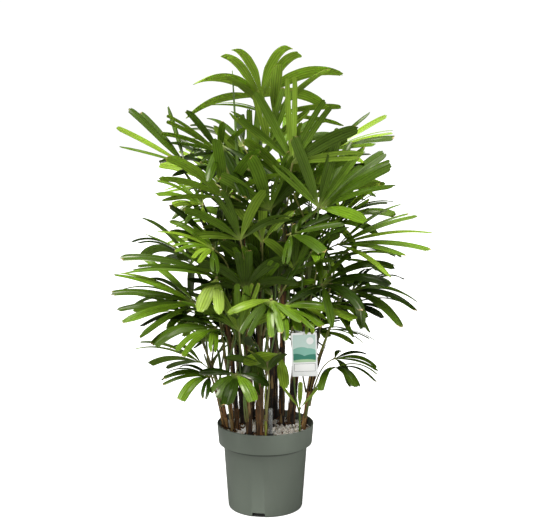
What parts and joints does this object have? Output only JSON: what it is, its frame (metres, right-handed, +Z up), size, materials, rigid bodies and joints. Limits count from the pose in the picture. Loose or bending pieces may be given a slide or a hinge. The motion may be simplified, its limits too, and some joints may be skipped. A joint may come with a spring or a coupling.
{
  "type": "lady palm in nursery pot",
  "caption": "Clumping lady palm with slender sheathed canes and fan fronds, standing in a ribbed-collar nursery pot with a gravel top, a hang label and a water gauge.",
  "frame": {"origin": "centre of the pot's flat underside", "axes": "+Z up along the pot's axis, -Y towards the plant's front, where the label hangs"},
  "size_m": [0.8572, 0.791, 1.2521],
  "materials": {
    "pot": "moulded grey-green plastic, slight sheen",
    "soil": "damp fibrous root ball",
    "gravel": "dry pale pumice grit",
    "cane_sheath": "brown fibrous leaf sheaths over a green cane",
    "leaf": "glossy ribbed leaf",
    "card": "printed card",
    "gauge_black": "black moulded plastic",
    "gauge_clear": "clear plastic tube"
  },
  "bodies": {
    "root": {"cane_a": "cane_sheath", "cane_b": "cane_sheath", "cane_c": "cane_sheath", "cane_d": "cane_sheath", "cane_e": "cane_sheath", "cane_f": "cane_sheath", "cane_g": "cane_sheath", "cane_h": "cane_sheath", "cane_j": "cane_sheath", "cane_k": "cane_sheath", "cane_l": "cane_sheath", "cane_m": "cane_sheath", "cane_n": "cane_sheath", "cane_o": "cane_sheath", "cane_p": "cane_sheath", "cane_s": "cane_sheath", "frond_09": "leaf", "frond_11": "leaf", "frond_12": "leaf", "frond_13": "leaf", "frond_14": "leaf", "frond_15": "leaf", "frond_16": "leaf", "frond_18": "leaf", "frond_19": "leaf", "frond_23": "leaf", "frond_28": "leaf", "frond_30": "leaf", "frond_32": "leaf", "frond_33": "leaf", "frond_34": "leaf", "frond_35": "leaf", "frond_36": "leaf", "frond_38": "leaf", "frond_39": "leaf", "frond_40": "leaf", "gauge_foot": "gauge_black", "gauge_tube": "gauge_clear", "gravel": "gravel", "head_a": "leaf", "head_b": "leaf", "head_c": "leaf", "head_d": "leaf", "head_e": "leaf", "head_f": "leaf", "head_g": "leaf", "head_h": "leaf", "head_j": "leaf", "head_k": "leaf", "head_l": "leaf", "head_m": "leaf", "head_n": "leaf", "head_o": "leaf", "head_p": "leaf", "head_s": "leaf", "label": "card", "pot": "pot", "root_ball": "soil"}
  },
  "joints": []
}
